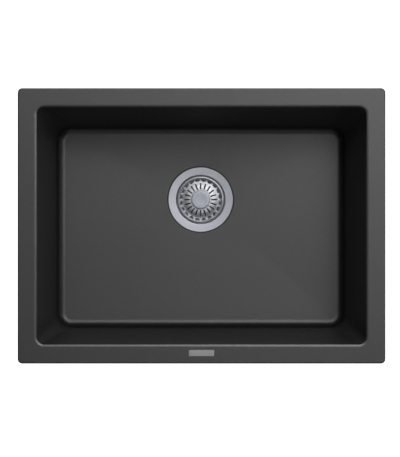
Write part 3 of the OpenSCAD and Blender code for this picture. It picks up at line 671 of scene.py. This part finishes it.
def steel_material(name, colour, rough, turned=False, dish=0.0, painted_shade_r=None):
    """Steel. Turned gives it the fine rings of a spun part about the drain's axis.

    Dish is a slight fall towards that axis, as a slope. Outside the radius given as the last argument the
    colour is darkened a little, as painted shade.
    """
    made, tree, shader = material(name)
    shader.inputs["Metallic"].default_value = 1.0
    at = where(tree)
    layers = []
    if turned:
        split = node(tree, "ShaderNodeSeparateXYZ")
        tree.links.new(at, split.inputs["Vector"])
        flat = node(tree, "ShaderNodeCombineXYZ")
        tree.links.new(split.outputs["X"], flat.inputs["X"])
        tree.links.new(combined(tree, "SUBTRACT", split.outputs["Y"], DRAIN_Y * MM), flat.inputs["Y"])
        length = node(tree, "ShaderNodeVectorMath", operation="LENGTH")
        tree.links.new(flat.outputs["Vector"], length.inputs[0])
        line = node(tree, "ShaderNodeCombineXYZ")
        tree.links.new(length.outputs["Value"], line.inputs["X"])
        tree.links.new(split.outputs["Z"], line.inputs["Y"])
        grain = noise(tree, line.outputs["Vector"], 2600, 3.0, 0.7)
        if dish:
            layers = [(length.outputs["Value"], 1.0, dish)]
    else:
        grain = noise(tree, where(tree, (1, 22, 22)), 260, 3.0, 0.7)
    stain = noise(tree, at, 90, 3.0, 0.55)
    light = tuple(min(1.0, c * 1.12) for c in colour)
    dark = tuple(c * 0.88 for c in colour)
    tone = ramp(tree, grain, (0.3, dark), (0.7, light))
    tone = blend_colours(tree, ramp(tree, stain, (0.35, 0.0), (0.75, 0.18)), tone,
                         tuple(c * 0.82 for c in colour))
    # Painted shade: the colour is multiplied by 0.88 outside the radius
    if painted_shade_r:
        tone = blend_colours(tree, step(tree, length.outputs["Value"], painted_shade_r - 0.3, painted_shade_r + 0.3), tone,
                             (0.88, 0.88, 0.88), "MULTIPLY")
    tree.links.new(tone, shader.inputs["Base Color"])
    spread = ramp(tree, grain, (0.2, rough * 0.82), (0.8, min(1.0, rough * 1.2)))
    tree.links.new(spread, shader.inputs["Roughness"])
    bump(tree, shader, *layers, (grain, 0.12, 0.00003))
    return made


def plastic_material(name, colour, rough, pits=0.3):
    """Moulded plastic, slightly clouded and pitted."""
    made, tree, shader = material(name)
    at = where(tree)
    cloud = noise(tree, at, 35, 2.0, 0.5)
    grain = noise(tree, at, 1500, 2.0, 0.6)
    tone = ramp(tree, cloud, (0.3, tuple(c * 0.94 for c in colour)), (0.7, colour))
    tree.links.new(tone, shader.inputs["Base Color"])
    tree.links.new(ramp(tree, grain, (0.3, rough * 0.85), (0.7, rough * 1.15)), shader.inputs["Roughness"])
    bump(tree, shader, (grain, pits, 0.00004), (cloud, 0.05, 0.0004))
    return made


def plated_material(name, colour, rough):
    """Zinc plating or brass: a metal with slight clouding and fine tool marks."""
    made, tree, shader = material(name)
    shader.inputs["Metallic"].default_value = 1.0
    at = where(tree)
    cloud = noise(tree, at, 220, 4.0, 0.6)
    fine = noise(tree, where(tree, (1, 1, 9)), 900, 2.0, 0.6)
    tone = ramp(tree, cloud, (0.3, tuple(c * 0.8 for c in colour)), (0.7, colour))
    tree.links.new(tone, shader.inputs["Base Color"])
    spread = ramp(tree, cloud, (0.25, rough * 0.75), (0.75, min(1.0, rough * 1.35)))
    tree.links.new(spread, shader.inputs["Roughness"])
    bump(tree, shader, (fine, 0.15, 0.00005))
    return made


def rubber_material():
    """Black rubber with a little dust."""
    made, tree, shader = material("seal_rubber")
    at = where(tree)
    fine = noise(tree, at, 1100, 3.0, 0.6)
    dust = noise(tree, at, 70, 3.0, 0.6)
    tree.links.new(ramp(tree, dust, (0.35, (0.012, 0.012, 0.012)), (0.8, (0.032, 0.031, 0.030))),
                   shader.inputs["Base Color"])
    tree.links.new(ramp(tree, fine, (0.3, 0.62), (0.7, 0.8)), shader.inputs["Roughness"])
    bump(tree, shader, (fine, 0.3, 0.00008))
    return made


granite = granite_material()
flange_steel = steel_material("flange_steel", (0.70, 0.72, 0.79), 0.34, turned=True, dish=0.05)
# The basket's brim, outside 38.2 mm, has painted shade in its colour
basket_steel = steel_material("basket_steel", (0.82, 0.83, 0.885), 0.36, turned=True, painted_shade_r=38.2)
knob_steel = steel_material("knob_steel", (0.65, 0.68, 0.75), 0.40, turned=True)
plate_steel = steel_material("nameplate_steel", (0.56, 0.56, 0.58), 0.36)
screw_steel = steel_material("screw_steel", (0.60, 0.60, 0.62), 0.3)
brass = plated_material("turned_brass", (0.74, 0.53, 0.24), 0.28)
zinc = plated_material("zinc_plate", (0.62, 0.63, 0.65), 0.34)
rubber = rubber_material()
waste_plastic = plastic_material("waste_plastic", (0.78, 0.78, 0.765), 0.42)
nut_plastic = plastic_material("nut_plastic", (0.75, 0.75, 0.74), 0.38)
pipe_plastic = plastic_material("pipe_plastic", (0.80, 0.80, 0.79), 0.33, 0.15)
clip_plastic = plastic_material("clip_plastic", (0.05, 0.05, 0.052), 0.45)
plate_plastic = plastic_material("plate_plastic", (0.24, 0.24, 0.245), 0.55)

# The nodes that aren't named here are the clips' nuts and arms and their studs, all zinc plated
FINISH = {
    "sink_bowl": granite,
    "nameplate": plate_steel,
    "rim_seal": rubber, "flange_seal": rubber, "under_seal": rubber,
    "outlet_seal": rubber, "stopper_seal": rubber,
    "drain_flange": flange_steel, "basket": basket_steel, "basket_stem": basket_steel,
    "basket_knob": knob_steel,
    "fixing_screw": screw_steel, "fixing_nut": brass, "clip_inserts": brass,
    "waste_body": waste_plastic, "waste_funnel": waste_plastic, "waste_hub": waste_plastic,
    "coupling_nut": nut_plastic, "tailpiece": pipe_plastic,
    "stopper_plate": plate_plastic, "stem_clip": clip_plastic,
}
for name, piece in nodes.items():
    finish = FINISH.get(name, zinc)
    piece.data.materials.clear()
    piece.data.materials.append(finish)
    piece.data.shade_smooth()
    piece.data.set_sharp_from_angle(angle=math.radians(30))


# Pieces

bowl = join(loft(bowl_rings(), closed=True), *[moved(boss(), x, y, turn) for x, y, turn in SPOTS])
build("granite_bowl", *bowl, granite, "sink", "granite", ["sink_bowl"])


def plate_ring(inset, z):
    """A ring that lies in from the nameplate's edge."""
    return rounded(PLATE_W / 2 - inset, PLATE_D / 2 - inset, max(0.1, PLATE_R - inset), z)


top = RIM_H + PLATE_T
plate = loft([plate_ring(d, z) for d, z in [
    (0, RIM_H), (0, top - PLATE_ROUND), (0.3 * PLATE_ROUND, top - 0.3 * PLATE_ROUND), (PLATE_ROUND, top),
    (GROOVE_IN, top), (GROOVE_IN + GROOVE_SLOPE, top - GROOVE_DEEP),
    (GROOVE_OUT - GROOVE_SLOPE, top - GROOVE_DEEP), (GROOVE_OUT, top), (0.4 * PLATE_D, top),
]], capped=True)
build("plate", *moved(plate, y=PLATE_Y), plate_steel, "sink", "nameplate", ["nameplate"])

stud = thread(STUD_R - STUD_DEEP, STUD_R, STUD_PITCH, STUD_END, STUD_TOP, STUD_R - STUD_TIP, STUD_STEPS)
studs = join(*[moved(stud, x, y, turn) for x, y, turn in SPOTS])
build("threaded_studs", *studs, zinc, "sink", "zinc", ["clip_studs"], angle=50, weighted=False)

sleeve = thread(OUTLET_R - OUTLET_DEEP, OUTLET_R, OUTLET_PITCH, OUTLET_END_Z, OUTLET_Z - 0.8,
                OUTLET_R - OUTLET_TIP, ROUND_STEPS, capped=False)
funnel = join(
    spun([
        (CHAMBER_R, CHAMBER_Z), (CHAMBER_R + BODY_T, CHAMBER_Z), (OUTLET_R + 0.6, OUTLET_Z + 0.6),
        (OUTLET_R - 0.5, OUTLET_Z + 0.05), (OUTLET_R - 1.15, OUTLET_Z - 0.5), (OUTLET_R - 1.6, OUTLET_Z - 3),
        (OUTLET_R - 1.6, OUTLET_END_Z + 0.02), (OUTLET_BORE, OUTLET_END_Z + 0.02),
        (OUTLET_BORE, OUTLET_Z - STOP_H), (PIPE_BORE, OUTLET_Z - STOP_H), (PIPE_BORE, OUTLET_Z),
    ], SPUN_STEPS),
    moved(sleeve, y=DRAIN_Y),
)
build("threaded_funnel", *funnel, waste_plastic, "sink", "waste_plastic", ["waste_funnel"], angle=45)

build("pressed_basket", *pressed_basket(), basket_steel, "strainer", "basket_steel", ["basket"], angle=50,
      weighted=False)
build("turned_knob", *turned_knob(), knob_steel, "strainer", "knob_steel", ["basket_knob"], angle=50)


# Camera, light and floor

camera_data = bpy.data.cameras.new("camera")
camera = bpy.data.objects.new("camera", camera_data)
bpy.context.scene.collection.objects.link(camera)
camera_data.lens = 132.65
camera_data.sensor_width = 36.0
camera_data.shift_x = 0.0284
camera_data.shift_y = 0.0427
camera.location = (-0.0241, -0.0367, 2.80)
camera.rotation_euler = (0, 0, 0)
bpy.context.scene.camera = camera


def softbox(name, place, aim, size, power):
    """A square lamp of a size in metres, turned to what it lights."""
    data = bpy.data.lights.new(name, "AREA")
    data.shape = "RECTANGLE"
    data.size = size
    data.size_y = size
    data.energy = power
    lamp = bpy.data.objects.new(name, data)
    bpy.context.scene.collection.objects.link(lamp)
    lamp.location = place
    lamp.rotation_euler = (Vector(aim) - Vector(place)).to_track_quat("-Z", "Y").to_euler()


# Each softbox: the way it lies, from the right round over the back, and its height, both in degrees, then
# its size in metres and its power. The low ones light only the rim, the lips and the tops of the walls.
LAMP_R = 3.2
AIM = (0, 0, -0.05)
for name, turn, height, size, power in [
    ("key", 72, 58, 1.5, 9.6), ("key_back", 108, 58, 1.5, 3.3), ("key_right", 36, 58, 1.5, 3.1),
    ("high_key", 36, 68, 1.2, 4.7), ("high_back", 108, 68, 1.2, 3.4), ("high_middle", 72, 68, 1.2, 1.1),
    ("high_right", 0, 68, 1.2, 1.6), ("high_left", 180, 68, 1.2, 1.3), ("top_front", 270, 79, 1.0, 2.0),
    ("top_right", 0, 79, 1.0, 1.0), ("low_right", 0, 8, 1.6, 14.1), ("low_back", 90, 8, 1.6, 12.8),
    ("low_front", 270, 25, 1.6, 4.4),
]:
    flat = LAMP_R * math.cos(math.radians(height))
    place = (flat * math.cos(math.radians(turn)), flat * math.sin(math.radians(turn)),
             LAMP_R * math.sin(math.radians(height)))
    softbox(name, place, AIM, size, power)

world = bpy.data.worlds.new("studio")
bpy.context.scene.world = world
world.use_nodes = True
background = world.node_tree.nodes["Background"]
background.inputs["Color"].default_value = (1, 1, 1, 1)
background.inputs["Strength"].default_value = 0.005


def pale_paper(name, verts, faces, strength):
    """White paper that shines, as the floor, the backdrop or the light that comes back from the floor."""
    mesh = bpy.data.meshes.new(name)
    mesh.from_pydata(verts, [], faces)
    flat = bpy.data.objects.new(name, mesh)
    bpy.context.scene.collection.objects.link(flat)
    paper, _, shader = material(name + "_paper")
    shader.inputs["Base Color"].default_value = (0.9, 0.9, 0.9, 1)
    shader.inputs["Roughness"].default_value = 0.9
    shader.inputs["Emission Color"].default_value = (1, 1, 1, 1)
    shader.inputs["Emission Strength"].default_value = strength
    mesh.materials.append(paper)
    return flat


# The camera sees the floor and the backdrop, which light nothing. The bounce lies just over the floor and
# lights the object's outside as a pale floor would, and the camera doesn't see it.
STUDIO_R, BOUNCE_R, BOUNCE_LIGHT = 30, 3, 0.35
FLOOR_GAP, BOUNCE_GAP = 0.0005, 0.0003
floor_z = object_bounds()[0].z - FLOOR_GAP
disc = [tuple(range(ROUND_STEPS))]
floor = pale_paper("floor", circle(STUDIO_R, floor_z), disc, 1.0)
backdrop = pale_paper("backdrop", *loft([circle(STUDIO_R, floor_z), circle(STUDIO_R, STUDIO_R)]), 1.0)
for paper in (floor, backdrop):
    paper.visible_glossy = False
    paper.visible_diffuse = False
bounce = pale_paper("bounce", circle(BOUNCE_R, floor_z + BOUNCE_GAP), disc, BOUNCE_LIGHT)
bounce.visible_camera = False
bounce.visible_shadow = False

bpy.context.scene.view_settings.view_transform = "Standard"
